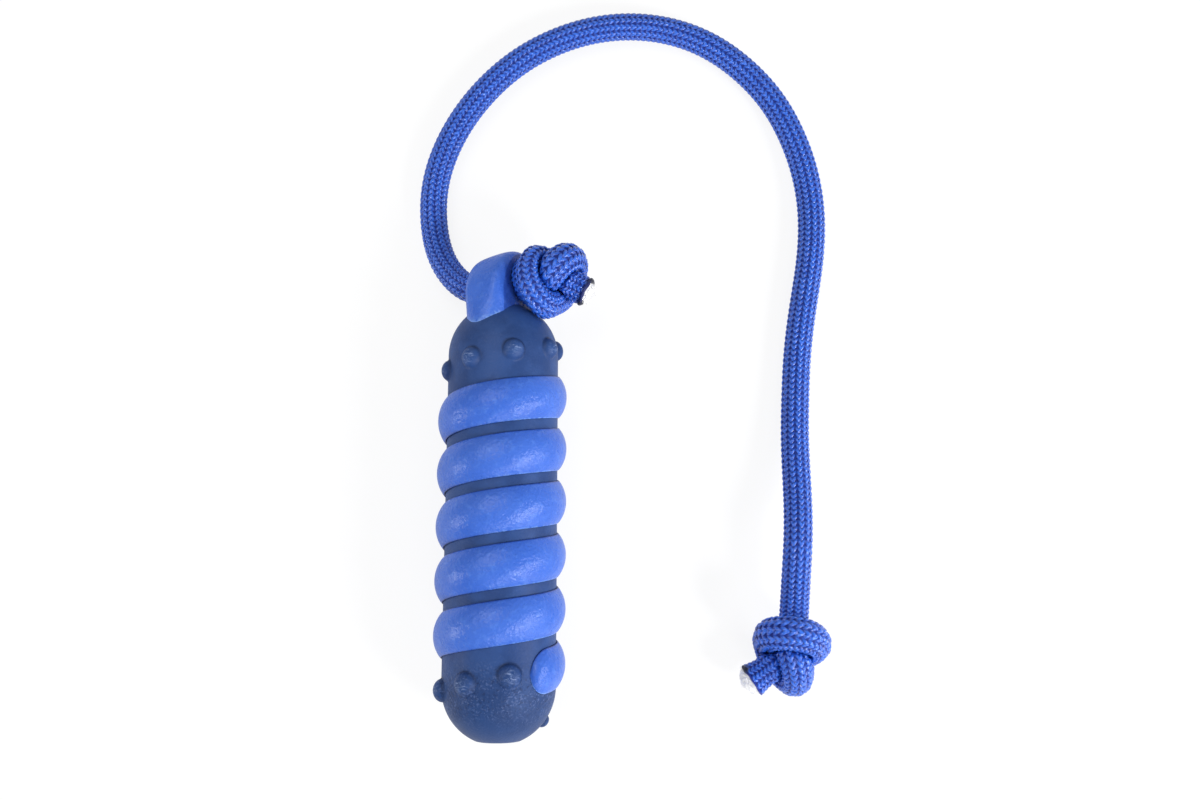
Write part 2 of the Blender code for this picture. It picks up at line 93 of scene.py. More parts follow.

# %% [markdown]
# ## The rope's own line
#
# A braided rope of 12 mm has no shape of its own: it has a length, and it lies where it fell. So
# its centre line comes first, and the braid is wrapped round that line later. The loose part is a
# smooth curve through listed points on the floor. The line is cut into even steps, because a
# pattern that runs along a rope stretches wherever the steps are uneven.

# %% The loose rope's route, from the eye to the grip knot
ROPE_DIAMETER, ROPE_FLOOR_GAP, ROPE_STEP = 0.0120, 0.0002, 0.0015
ROPE_ROUTE = (
    (-0.0168, 0.0856, 0.0162), (-0.0225, 0.0910, 0.0126), (-0.0272, 0.0980, 0.0096),
    (-0.0306, 0.1065, 0.0074), (-0.0324, 0.1155, 0.0064), (-0.0330, 0.1250, 0.0062),
    (-0.0319, 0.1370, 0.0062), (-0.0282, 0.1500, 0.0062), (-0.0205, 0.1655, 0.0062),
    (-0.0100, 0.1795, 0.0062), (0.0030, 0.1915, 0.0062), (0.0185, 0.2008, 0.0062),
    (0.0360, 0.2068, 0.0062), (0.0540, 0.2086, 0.0062), (0.0720, 0.2060, 0.0062),
    (0.0885, 0.1990, 0.0062), (0.1030, 0.1878, 0.0062), (0.1150, 0.1735, 0.0062),
    (0.1240, 0.1555, 0.0062), (0.1293, 0.1365, 0.0062), (0.1309, 0.1170, 0.0062),
    (0.1293, 0.0980, 0.0062), (0.1260, 0.0790, 0.0062), (0.1232, 0.0600, 0.0062),
    (0.1215, 0.0398, 0.0072), (0.1205, 0.0216, 0.0093), (0.1202, 0.0055, 0.0124),
    (0.1198, -0.0085, 0.0160),
)


# %% Even steps, and a smooth curve through points
def run_along(points):
    """How far along the line each of its points is."""
    return np.concatenate(([0.0], np.cumsum(np.linalg.norm(np.diff(points, axis=0), axis=1))))


def evenly(points, count):
    """The same line in even steps, and its length."""
    run = run_along(points)
    marks = np.linspace(0, run[-1], count)
    return np.stack([np.interp(marks, run, points[:, k]) for k in range(3)], axis=1), run[-1]


def smooth_line(points, count):
    """A curve through the points in even steps, without a jump in its direction or its bend."""
    points = np.asarray(points, float)
    run = run_along(points)
    gap = np.diff(run)
    slope = np.diff(points, axis=0) / gap[:, None]
    n = len(points)
    left, right = np.eye(n), np.empty_like(points)
    right[0], right[-1] = slope[0], slope[-1]
    for k in range(1, n - 1):
        left[k, k - 1:k + 2] = gap[k], 2 * (gap[k - 1] + gap[k]), gap[k - 1]
        right[k] = 3 * (gap[k] * slope[k - 1] + gap[k - 1] * slope[k])
    tangent = np.linalg.solve(left, right)
    marks = np.linspace(0, run[-1], 3000)
    k = np.clip(np.searchsorted(run, marks, side="right") - 1, 0, n - 2)
    w = gap[k][:, None]
    u = ((marks - run[k])[:, None]) / w
    curve = (points[k] * (2 * u ** 3 - 3 * u ** 2 + 1) + points[k + 1] * (3 * u ** 2 - 2 * u ** 3)
             + w * tangent[k] * (u ** 3 - 2 * u ** 2 + u) + w * tangent[k + 1] * (u ** 3 - u ** 2))
    return evenly(curve, count)[0]


# %% [markdown]
# ## Knots
#
# Both knots are plain overhand knots. A knot drawn by hand never looks tight, because each strand
# has to lie exactly one rope away from every other. So a loose knot is written as a formula, and
# then pulled: in each round the line gets shorter, its ends are drawn in, and strands that come
# nearer than one rope are pushed apart. What is left is the shape that a real knot finds. A knot
# is pulled with lengths in rope widths, standing on its lead, and set into the part afterwards.

# %% The two knots
# turn and lean turn a knot about its lead and tip it over. tail_pull is where its tail is held
# while it is pulled. size is a rope width in metres, for each of the knot's own three directions,
# and right, near and ahead are where they point in the part. lead is how far the rope runs straight
# before the knot's middle, and trim is the share of the whole that is cut off at the tail.
Knot = namedtuple("Knot", "turn tail_pull lean size middle right near ahead lead trim")
END_KNOT = Knot(turn=math.radians(105), tail_pull=(-2.5, -0.6, 1.6), lean=0,
                size=(0.0090, 0.0076, 0.0101), middle=Vector((0.1148, -0.0675, 0)),
                right=Vector((0.9963, -0.0854, 0)), near=Vector((0, 0, 1)),
                ahead=Vector((-0.0854, -0.9963, 0)), lead=0.030, trim=0.058)
STOP_KNOT = Knot(turn=math.radians(130), tail_pull=(-1.5, -0.8, 2.8), lean=math.radians(19),
                 size=(0.0088, 0.0077, 0.0079), middle=BORE_CENTRE + EYE_ACROSS * 0.0208,
                 right=Vector((0, 1, 0)), near=EYE_OUT, ahead=EYE_ACROSS, lead=0.0238, trim=0.088)
LEAD_END = np.array((0, 0, -3.2))
LEAN_FROM, LEAN_OVER = 1.35, 0.9


def loose_knot(turn):
    """An overhand knot as a formula, wide open, and turned about its lead."""
    t = np.linspace(-2.1, 2.1, 400)
    x, y, z = 3 * t - t ** 3, t ** 4 - 4 * t ** 2 + 2, (t ** 5 / 5 - 2 * t) * 1.6
    c, s = math.cos(turn), math.sin(turn)
    return 1.25 * np.stack([c * x - s * y, s * x + c * y, z], axis=1)


# %% Pull a knot tight
def draw_in(line, most=0.1):
    """Straighten a line, until some point of it has moved by the most allowed."""
    before = line.copy()
    for _ in range(30):
        line[1:-1] += 0.9 * ((line[:-2] + line[2:]) / 2 - line[1:-1])
        if np.abs(line - before).max() > most:
            break


def push_apart(line, one, two, room, ends):
    """Move the points of each pair away from each other until they have their room."""
    count = len(line)
    for _ in range(30):
        gap = line[two] - line[one]
        far = np.linalg.norm(gap, axis=1)
        tight = far < room * 0.999
        if not tight.any():
            break
        a, b, depth = one[tight], two[tight], room[tight] - far[tight]
        push = (0.5 * depth ** 2 / far[tight])[:, None] * gap[tight]
        weight = np.maximum(np.bincount(a, depth, count) + np.bincount(b, depth, count), 1e-9)
        for k in range(3):
            move = np.bincount(b, push[:, k], count) - np.bincount(a, push[:, k], count)
            line[:, k] += move / weight
        line[0], line[-1] = ends


def pull_knot(turn, tail_pull, count=84, rounds=700, drawn_by=0.3, least_bend=0.62):
    """The line of a pulled knot. The points of a bend may be nearer to each other than a rope."""
    line = loose_knot(turn)
    wide = np.array([[0, 0, line[0, 2] - 2], [0, 0, line[-1, 2] + 2]])
    held = np.array([LEAD_END, tail_pull])
    line, length = evenly(np.vstack([wide[:1], line, wide[1:]]), count)
    one, two = np.triu_indices(count, 2)
    bend_reach = 2 * least_bend * math.asin(1 / (2 * least_bend))
    for step in range(rounds):
        ends = wide + (held - wide) * min(1, step / (drawn_by * rounds))
        draw_in(line)
        line[0], line[-1] = ends
        line, length = evenly(line, count)
        apart = (two - one) * length / (count - 1)
        chord = 2 * least_bend * np.sin(np.minimum(apart / (2 * least_bend), math.pi / 2))
        room = np.where(apart < bend_reach, chord, 1.0)
        push_apart(line, one, two, room, ends)
    return line


# %% Set a pulled knot into the part
def knot_line(knot, count=88, fine=400):
    """The knot's line in metres: its lead is set straight, and only the knot itself leans."""
    line = pull_knot(knot.turn, knot.tail_pull)
    lead = Vector(line[7] - line[0])
    straighten = np.array(lead.rotation_difference(Vector((0, 0, 1))).to_matrix())
    line = (line - line[0]) @ straighten.T + LEAD_END
    line = smooth_line(line[::2], fine)
    line = line[:round(len(line) * (1 - knot.trim))]
    share = np.clip((line[:, 2] + LEAN_FROM) / LEAN_OVER, 0, 1)
    share = (share ** 2 * (3 - 2 * share))[:, None]
    share[fine // 2:] = 1
    line = line * np.array(knot.size)
    leant = line @ np.array(Matrix.Rotation(knot.lean, 3, "Y")).T
    line = line * (1 - share) + leant * share
    line = np.vstack([[[0, 0, -knot.lead]], line[line[:, 2] > -knot.lead + 0.0005]])
    axes = np.array([knot.right, knot.near, knot.ahead])
    return evenly(line @ axes + np.array(knot.middle), count)[0]


def frames(line):
    """The way ahead at each point of a line, and two ways square to it that never twist."""
    ahead = np.gradient(line, axis=0)
    ahead /= np.linalg.norm(ahead, axis=1)[:, None]
    side = np.cross(ahead[0], (0.3, 0.2, 0.9))
    found = []
    for direction in ahead:
        side = side - direction * (side @ direction)
        side /= np.linalg.norm(side)
        found.append((direction, side, np.cross(direction, side)))
    return np.array(found)


# %% [markdown]
# ## Where the rope is pressed flat
#
# A rope is soft. Where two strands of a knot press on each other, each gives way until they meet
# in a flat face half way between them, and the same happens against the stick. What is pressed
# in there swells out elsewhere, because the section keeps its area. So the rope's radius isn't
# one number: it is worked out in every direction at every step along the line.

# %% How far the stick lets the rope reach
# The stop knot rests on the eye's face, in a ring round the hole with these two radii.
FACE_RING = 0.004, 0.040
WIDEST = ROPE_DIAMETER / 2 * 1.2


def room_by_dome(points):
    """How far points are from the dome, as it sweeps round the hole when the rope swings."""
    off = points - bore_centre
    along = off @ eye_across
    out = np.linalg.norm(off - along[..., None] * eye_across, axis=-1)
    return np.hypot(out - (BORE_CENTRE.y - HIGH_CENTRE_Y), along) - CORE_RADIUS - SWING_GAP


def reach_to_dome(point, ways):
    """How far out from a point the dome begins, each way."""
    tries = np.linspace(0, WIDEST, 29)
    room = room_by_dome(point + tries[:, None, None] * ways)
    hit = np.argmax(room < 0, axis=0)
    before, after = (room[k, np.arange(len(ways))] for k in (np.maximum(hit - 1, 0), hit))
    share = before / np.maximum(before - after, 1e-9)
    return np.where(hit > 0, tries[hit - 1] + share * tries[1], tries[-1])


def reach_to_eye(point, ways):
    """How far out from a point the eye's face lies, each way."""
    across = (point - bore_centre) @ eye_across
    off = np.linalg.norm(point - np.array(BORE_CENTRE + EYE_ACROSS * across))
    if across < EYE_WIDTH / 2 or not FACE_RING[0] < off < FACE_RING[1]:
        return np.full(len(ways), ROPE_DIAMETER)
    return (across - EYE_WIDTH / 2 - SEAT_GAP) / np.maximum(-ways @ eye_across, 1e-9)


# %% How far the rope reaches from its centre line
SAME_STRAND = 1.5 * ROPE_DIAMETER
INTO_BEND = 0.85


def strand_reach(line, k, ways):
    """The rope's radius each way at point k, pressed by all that is near, with its area kept."""
    step = np.linalg.norm(line[1] - line[0])
    other = np.abs(np.arange(len(line)) - k) * step > SAME_STRAND
    toward = line[other] - line[k]
    far = np.linalg.norm(toward, axis=1)
    along = np.maximum(toward @ ways.T, 1e-9)
    half = (far * (far / 2 - SEAT_GAP))[:, None] / along
    limit = np.minimum(WIDEST, half.min(axis=0, initial=1.0))
    limit = np.minimum(limit, reach_to_dome(line[k], ways))
    limit = np.minimum(limit, reach_to_eye(line[k], ways))
    a, b, c = line[max(k - 3, 0)], line[k], line[min(k + 3, len(line) - 1)]
    curl = (a + c - 2 * b) / (3 * step) ** 2
    limit = np.minimum(limit, INTO_BEND / np.maximum(ways @ curl, 1e-9))
    radius = ROPE_DIAMETER / 2
    for _ in range(8):
        reach = np.minimum(radius, limit)
        radius *= ROPE_DIAMETER / 2 / math.sqrt((reach * np.roll(reach, 1)).mean())
    return np.minimum(radius, limit)


def rings_of(line, sides):
    """Ways out from the line, and how far the rope reaches along each, at every point."""
    turned = np.arange(sides) * math.tau / sides
    for k, (_, side, other) in enumerate(frames(line)):
        ways = np.cos(turned)[:, None] * side + np.sin(turned)[:, None] * other
        yield line[k], ways, strand_reach(line, k, ways)


# %% One line for the whole rope, from the stop knot's tail to the grip knot's tail
MOUTH_RUN = -0.0033, -0.007, -0.011, -0.0145
stop_line = knot_line(STOP_KNOT)
end_line = knot_line(END_KNOT)
low = min((middle[2] + ways[:, 2] * reach).min() for middle, ways, reach in rings_of(end_line, 16))
end_line = end_line + np.array([0, 0, ROPE_FLOOR_GAP - low])

mouth = [BORE_CENTRE + EYE_ACROSS * v for v in MOUTH_RUN]
last = [end_line[0] - np.array(END_KNOT.ahead) * far for far in (ROPE_DIAMETER, 0.006, SEAT_GAP)]
run_line = smooth_line([np.array(p) for p in (*mouth, *ROPE_ROUTE)] + last, 400)

parts = (stop_line, run_line, end_line)
lengths = [np.linalg.norm(np.diff(part, axis=0), axis=1).sum() for part in parts]
STEPS = round(sum(lengths) / ROPE_STEP)
whole, ROPE_LENGTH = evenly(np.vstack([stop_line[::-1], run_line[1:], end_line[1:]]), STEPS + 1)
RUN_FROM, RUN_TO = lengths[0], lengths[0] + lengths[1]
print("rope, mm:", [round(part * 1000) for part in lengths], "in all", round(ROPE_LENGTH * 1000))

# %% The rope's frames, and its radius to every side at every step
SIDES = 32
TAIL_FLARE, FLARE_LENGTH = (0.05, 0.16), 0.0035
rope_frames = frames(whole)
rope_reach = np.array([reach for _, _, reach in rings_of(whole, SIDES)])
print("thinnest half, mm:", round(rope_reach.min() * 1000, 2))


def on_rope(far, phi, rise):
    """Points at a distance along the rope, turned round it by phi, and that far off its radius."""
    place = np.clip(far / ROPE_LENGTH * STEPS, 0, STEPS - 1e-6)
    k = place.astype(int)
    part = (place - k)[:, None]
    turn = (phi / math.tau * SIDES) % SIDES
    m = turn.astype(int)
    slant = turn - m
    near, beyond = rope_reach[k], rope_reach[k + 1]
    rows, n = np.arange(len(far)), (m + 1) % SIDES
    radius = ((near[rows, m] * (1 - slant) + near[rows, n] * slant) * (1 - part[:, 0])
              + (beyond[rows, m] * (1 - slant) + beyond[rows, n] * slant) * part[:, 0])
    from_cut = np.minimum(far, ROPE_LENGTH - far)
    flare = np.where(far < ROPE_LENGTH / 2, TAIL_FLARE[0], TAIL_FLARE[-1])
    radius = radius * (1 + flare * np.exp(-(from_cut / FLARE_LENGTH) ** 2))
    middle = whole[k] * (1 - part) + whole[k + 1] * part
    side = rope_frames[k, 1] * (1 - part) + rope_frames[k + 1, 1] * part
    other = rope_frames[k, 2] * (1 - part) + rope_frames[k + 1, 2] * part
    way = np.cos(phi)[:, None] * side + np.sin(phi)[:, None] * other
    return middle + way * (radius + rise)[:, None]


# %% [markdown]
# ## Materials from short expressions
#
# A material is a chain of nodes, and sums written as nodes are hard to read. The small class below
# holds one output of a node. Adding or multiplying two of them adds the Math node, so a formula in
# the script reads like a formula. Every other kind of node comes from its one method, node().

# %% A class for shader sums
class Flow:
    def __init__(self, tree, socket=None):
        self.tree = tree
        self.socket = socket

    def node(self, kind, settings=None, inputs=None, output=0):
        """A new node, with its settings first, then the values or links of its sockets."""
        made = self.tree.nodes.new("ShaderNode" + kind)
        for name, value in (settings or {}).items():
            setattr(made, name, value)
        for name, value in (inputs or {}).items():
            if isinstance(value, Flow):
                self.tree.links.new(value.socket, made.inputs[name])
            else:
                made.inputs[name].default_value = value
        return Flow(self.tree, made.outputs[output])

    def output(self, index):
        """Another output of the same node."""
        return Flow(self.tree, self.socket.node.outputs[index])

    def maths(self, operation, *values):
        return self.node("Math", {"operation": operation}, dict(enumerate(values)))

    def __add__(self, other):
        return self.maths("ADD", self, other)

    def __radd__(self, other):
        return self.maths("ADD", other, self)

    def __sub__(self, other):
        return self.maths("SUBTRACT", self, other)

    def __rsub__(self, other):
        return self.maths("SUBTRACT", other, self)

    def __mul__(self, other):
        return self.maths("MULTIPLY", self, other)

    def __rmul__(self, other):
        return self.maths("MULTIPLY", other, self)

    def ramp(self, low, high):
        """0 below low, 1 above high, and smooth between them."""
        settings = {"interpolation_type": "SMOOTHSTEP", "clamp": True}
        return self.node("MapRange", settings, {"Value": self, "From Min": low, "From Max": high})

    def mix(self, one, two):
        """Colour one where this is 0, and colour two where it is 1."""
        ends = [c if isinstance(c, Flow) else (*c, 1) for c in (one, two)]
        return self.node("Mix", {"data_type": "RGBA"}, {0: self, 6: ends[0], 7: ends[1]}, 2)

    def on_object(self):
        """The place on the piece, in metres, which stays put on it from every side."""
        return self.node("TexCoord", None, None, 3)

    def painted(self, name):
        """The value that a piece's vertices carry under this name."""
        return self.node("Attribute", {"attribute_name": name}, None, 2)

    def noise(self, where, scale, detail=2.0, roughness=0.5):
        inputs = {"Vector": where, "Scale": scale, "Detail": detail, "Roughness": roughness}
        return self.node("TexNoise", None, inputs)

    def bump(self, height, depth, strength):
        return self.node("Bump", None, {"Height": height, "Distance": depth, "Strength": strength})


# %% A new material
def new_material(name, **constants):
    """A material with a Principled shader, and a Flow to build its nodes with."""
    made = bpy.data.materials.new(name)
    made.use_nodes = True
    shader = made.node_tree.nodes["Principled BSDF"]
    for label, value in constants.items():
        shader.inputs[label.replace("_", " ")].default_value = value
    print("material", name)
    return made, Flow(made.node_tree), shader


def finish_material(flow, shader, **links):
    """Link the finished nodes to the shader."""
    for label, value in links.items():
        flow.tree.links.new(value.socket, shader.inputs[label.replace("_", " ")])


# %% [markdown]
# ## Rope yarn
#
# Each strand of the braid is a flat bundle of fine filaments with a slight gloss. The strands have
# their own UV map, across and along, so the filament lines follow every strand round the knots.
# Three painted values do the rest: tone is a little different for each strand and each stitch,
# crown is painted light, a painted highlight along each stitch's top and painted shade at its
# edges and where it dives under, and it also makes the top glossier, and burnt darkens the yarn
# where it was cut hot.

# %% Rope yarn material
yarn, flow, shader = new_material("blue_yarn", Specular_IOR_Level=0.50, Coat_Weight=0.5,
                                  Coat_Roughness=0.18)
uv = flow.node("UVMap", {"uv_map": "along_strand"})
u = flow.node("SeparateXYZ", None, {"Vector": uv})
v = u.output(1)
tone = flow.painted("tone")
wander = flow.noise(uv, 9.0, 3.0)
filament = flow.maths("SINE", (u + 0.03 * wander) * 31.4 + v * 1.9) * 0.5 + 0.5
crown = flow.painted("crown")
burnt = flow.painted("burnt")
# Painted light: a highlight along each stitch's top, and shade at its edges and where it dives.
light = tone * 0.60 + crown * 0.65 + filament * 0.16 - 0.30
colour = flow.maths("MAXIMUM", light, 0.0).mix((0.003, 0.030, 0.330), (0.046, 0.222, 1.000))
colour = burnt.mix(colour, (0.004, 0.006, 0.020))
finish_material(flow, shader, Base_Color=colour, Roughness=0.36 - 0.16 * crown,
                Normal=flow.bump(filament, 0.00006, 0.6))

# The tube under the braid is painted shade: dark navy for the gaps between the strands.
rope_inside, flow, shader = new_material("rope_inside", Roughness=0.8)
shadow = flow.noise(flow.on_object(), 900.0)
finish_material(flow, shader,
                Base_Color=shadow.mix((0.003, 0.018, 0.190), (0.006, 0.030, 0.280)))

# %% [markdown]
# ## Braid
#
# The rope is braided from 44 strands. Half of them wind one way, half the other, and each goes over
# two and under two. Seen from outside that makes columns of short slanted stitches, which point
# along the rope like a row of arrows. A bump texture can't show it, because the edge of a real
# rope is scalloped by its stitches. So one flat grid is cut into 44 ribbons, and each ribbon is
# laid round the rope's line, rising over two crossings and diving under the next two. In the knots
# the rope is squeezed lengthwise, so the crossings crowd together there.

# %% Finish a piece: one mesh object, riding on its body
def mesh_object(name, bm):
    """Turn a bmesh into an object of the scene."""
    mesh = bpy.data.meshes.new(name)
    bm.to_mesh(mesh)
    bm.free()
    made = bpy.data.objects.new(name, mesh)
    bpy.context.scene.collection.objects.link(made)
    return made


def piece(name, bm, material, body, stands_for=None, slot=None):
    """An object that moves with a body, and stands for one of the part's own nodes."""
    made = mesh_object(name, bm)
    made.data.shade_smooth()
    made.data.materials.append(material)
    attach(made, body)
    if stands_for:
        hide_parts(stands_for)
    print(name, len(made.data.polygons), "faces")
    return made


# %% Short helpers for every bmesh below
def places(bm):
    return np.array([v.co for v in bm.verts])


def move_to(bm, points):
    for vert, point in zip(bm.verts, points):
        vert.co = point


def paint(bm, **values):
    """Store a value at each vertex under each name, for a material to read."""
    for label, numbers in values.items():
        layer = bm.verts.layers.float.new(label)
        for vert, number in zip(bm.verts, numbers):
            vert[layer] = number


def close_up(bm):
    """Fill the open ends, and turn every face outwards."""
    bmesh.ops.holes_fill(bm, edges=[e for e in bm.edges if e.is_boundary], sides=0)
    bmesh.ops.recalc_face_normals(bm, faces=bm.faces)


# %% Sizes of the braid, and the tone of each stitch
# A strand goes once round the rope in one lay, past as many crossings as there are strands. Four
# of them make one cycle of over two and under two. Its ribbon has four columns across, from edge
# to edge, and its rows stand at seven stations of each cycle, closer where it dives.
LAY = 0.0534
CARRIERS = 44
CROSSING = LAY / CARRIERS
CYCLE = 4
ACROSS = np.array([-1, -0.45, 0.45, 1])
STATIONS = np.array([-1, -0.6, -0.2, 0.5, 1.2, 1.6, 2])
HALF_STRAND = 0.00069
SLANT = math.atan2(math.tau * ROPE_DIAMETER / 2, LAY)
STITCHES = 200
chance = np.random.RandomState(7)
strand_tone = chance.uniform(0.42, 0.60, CARRIERS)
stitch_tone = chance.uniform(-0.16, 0.16, (CARRIERS, STITCHES))

CROWDING, CROWDS_OVER = 0.35, 0.015
at_step = np.linspace(0, ROPE_LENGTH, STEPS + 1)
bunched = (np.clip((RUN_FROM - at_step) / CROWDS_OVER + 0.3, 0, 1)
           + np.clip((at_step - RUN_TO) / CROWDS_OVER + 0.3, 0, 1))
crossings = np.cumsum((1 + CROWDING * bunched) * at_step[1] / CROSSING)
print("crossings along the rope:", round(crossings[-1]))


# %% Heat at the cuts
def scorched(at, phi):
    """How much of the blade's heat each side of a tail took, for the rope's end at = 0 or -1."""
    corner = np.array((0.35, 0.93, 0.20) if at == 0 else (-0.43, 0.90, 0.45))
    _, side, other = rope_frames[at]
    toward = np.cos(phi - math.atan2(corner @ other, corner @ side))
    return 0.5 + 0.5 * toward ** 4 if at == 0 else np.maximum(toward, 0) ** 6


def burnt_share(far, phi):
    """1 at a cut, and 0 beyond the 0.3 to 2 mm that the heat went in."""
    heat = np.where(far < ROPE_LENGTH / 2, scorched(0, phi), scorched(-1, phi))
    from_cut = np.minimum(far, ROPE_LENGTH - far)
    return np.clip(1.4 - from_cut / (0.0003 + 0.0017 * heat), 0, 1)


# %% Cut a flat grid into ribbons
def flat_ribbons(count):
    """One ribbon for each strand, with the column and the station of each vertex."""
    wide = len(ACROSS)
    rows = CARRIERS * wide - 1
    bm = bmesh.new()
    bmesh.ops.create_grid(bm, x_segments=count - 1, y_segments=rows, size=1)
    between = []
    for edge in bm.edges:
        low, high = sorted(round((v.co.y + 1) / 2 * rows) for v in edge.verts)
        if low != high and low % wide == wide - 1:
            between.append(edge)
    bmesh.ops.delete(bm, geom=between, context="EDGES")
    bm.verts.ensure_lookup_table()
    co = places(bm)
    column = np.rint((co[:, 1] + 1) / 2 * rows).astype(int)
    station = np.rint((co[:, 0] + 1) / 2 * (count - 1)).astype(int)
    return bm, column, station


# %% Lay the ribbons over and under each other
DIVE, EDGE_DROP, ARCH_DROP = 0.00034, 0.00052, 0.00012


def map_strands(bm, across, along):
    """Each strand's own UV, across it and along it in millimetres."""
    layer = bm.loops.layers.uv.new("along_strand")
    for face in bm.faces:
        for loop in face.loops:
            k = loop.vert.index
            loop[layer].uv = ((across[k] + 1) / 2, along[k])


def braid(name, start, stop, **how):
    """Ribbons from start to stop along the rope, cut off square at both ends."""
    c_start, c_stop = np.interp((start, stop), at_step, crossings)
    first, final = math.floor(c_start / CYCLE) - 1, math.ceil(c_stop / CYCLE) + 1
    stations = (np.arange(first, final)[:, None] * CYCLE + STATIONS).ravel()
    bm, column, station = flat_ribbons(len(stations))
    carrier, across = column // len(ACROSS), ACROSS[column % len(ACROSS)]
    way = np.where(carrier < CARRIERS // 2, 1.0, -1.0)
    number = carrier % (CARRIERS // 2)
    shift = np.where(way > 0, -2 * number, 2 * number + 2) % CYCLE
    offset = way * across * HALF_STRAND * math.sin(SLANT)
    asked = stations[station] + shift - offset / CROSSING
    shown = np.clip(asked, c_start, c_stop)
    far = np.interp(shown, crossings, at_step)
    crossing = shown + offset / CROSSING
    wave = np.cos((crossing - shift - 0.5) * math.pi / 2)
    rise = np.clip(1.3 * wave, -1, 1)
    phi = (way * crossing + 2 * number) * math.tau / CARRIERS
    phi = phi + across * HALF_STRAND * math.cos(SLANT) / (ROPE_DIAMETER / 2)
    height = -DIVE * (1 - rise) - EDGE_DROP * np.abs(across) ** 2.2 - ARCH_DROP * (1 - wave)
    move_to(bm, on_rope(far, phi, height))
    stitch = np.floor((stations[station] + 1) / CYCLE).astype(int) - first
    # The painted highlight on each stitch's top, and painted shade at its edges and dives.
    paint(bm, tone=strand_tone[carrier] + stitch_tone[carrier, np.clip(stitch, 0, STITCHES - 1)],
          crown=(0.5 + 0.5 * rise) ** 1.4 * (1 - 0.8 * np.abs(across) ** 2.5),
          burnt=burnt_share(far, phi))
    map_strands(bm, across, crossing * CROSSING * 1000)
    beyond = asked < c_start, asked > c_stop
    gone = [face for face in bm.faces
            if any(past[[v.index for v in face.verts]].all() for past in beyond)]
    bmesh.ops.delete(bm, geom=gone, context="FACES")
    bmesh.ops.recalc_face_normals(bm, faces=bm.faces)
    return piece(name, bm, yarn, "rope", **how)


# %% The dark tube under the ribbons, coloured as painted shade
TUBE_STEP, TUBE_DEPTH = 0.002, 0.00075


def under_tube(name, start, stop):
    """A closed tube under the ribbons, painted shade that shows only in the gaps between them."""
    length = round((stop - start) / TUBE_STEP)
    bm = bmesh.new()
    bmesh.ops.create_grid(bm, x_segments=length, y_segments=SIDES, size=1)
    co = places(bm)
    far = start + (stop - start) * (co[:, 0] + 1) / 2
    move_to(bm, on_rope(far, (co[:, 1] + 1) * math.pi, np.full(len(far), -TUBE_DEPTH)))
    bmesh.ops.remove_doubles(bm, verts=bm.verts, dist=1e-6)
    close_up(bm)
    return piece(name, bm, rope_inside, "rope", slot="rope_sheath")


# %% The three lengths of rope
TAIL_CUT = 0.0003
stop_braid = braid("stop_knot_braid", TAIL_CUT, RUN_FROM, stands_for="stop_knot",
                   slot="rope_sheath")
rope_braid = braid("loose_rope_braid", RUN_FROM, RUN_TO, stands_for="rope_run", slot="rope_sheath")
end_braid = braid("grip_knot_braid", RUN_TO, ROPE_LENGTH - TAIL_CUT, stands_for="end_knot",
                  slot="rope_sheath")
inner = [under_tube("stop_knot_inside", TAIL_CUT, RUN_FROM),
         under_tube("loose_rope_inside", RUN_FROM, RUN_TO),
         under_tube("grip_knot_inside", RUN_TO, ROPE_LENGTH - TAIL_CUT)]

# %% [markdown]
# ## Cut tails
#
# The rope was cut with a hot blade. That melts the blue sheath into a dark lumpy rim and leaves
# the white core as a soft tuft that bulges out. A smooth cap with a noisy material would look like
# wax. So the rim is a ring with an uneven outline, and the tuft is a lumpy dome with fine
# filaments on it, each a thin tube along its own bent line.

# %% White core filaments, and the melted rim
white_core, flow, shader = new_material("white_core_yarn", Roughness=0.75, Sheen_Weight=0.3)
lumps = flow.noise(flow.on_object(), 900.0, 3.0)
colour = lumps.ramp(0.28, 0.50).mix((0.78, 0.80, 0.87), (0.97, 0.97, 0.98))
finish_material(flow, shader, Base_Color=colour, Normal=flow.bump(lumps, 0.0004, 0.8))

melted, flow, shader = new_material("melted_rim", Specular_IOR_Level=0.4)
lumps = flow.noise(flow.on_object(), 1200.0, 2.0)
burnt = flow.painted("burnt")
colour = burnt.mix((0.006, 0.026, 0.300), lumps.mix((0.003, 0.004, 0.012), (0.008, 0.014, 0.050)))
finish_material(flow, shader, Base_Color=colour, Roughness=0.30 + 0.3 * lumps)


# %% A tail's rim
def seat(place, direction, side, other):
    """The matrix that stands a thing at a place, with its z axis along a direction."""
    return Matrix.Translation(place) @ Matrix((side, other, direction)).transposed().to_4x4()


def tail_seat(at):
    """The rope's end at = 0 or -1, with z pointing out of the rope."""
    direction, side, other = rope_frames[at]
    return seat(whole[at], -direction if at == 0 else direction, side, other)


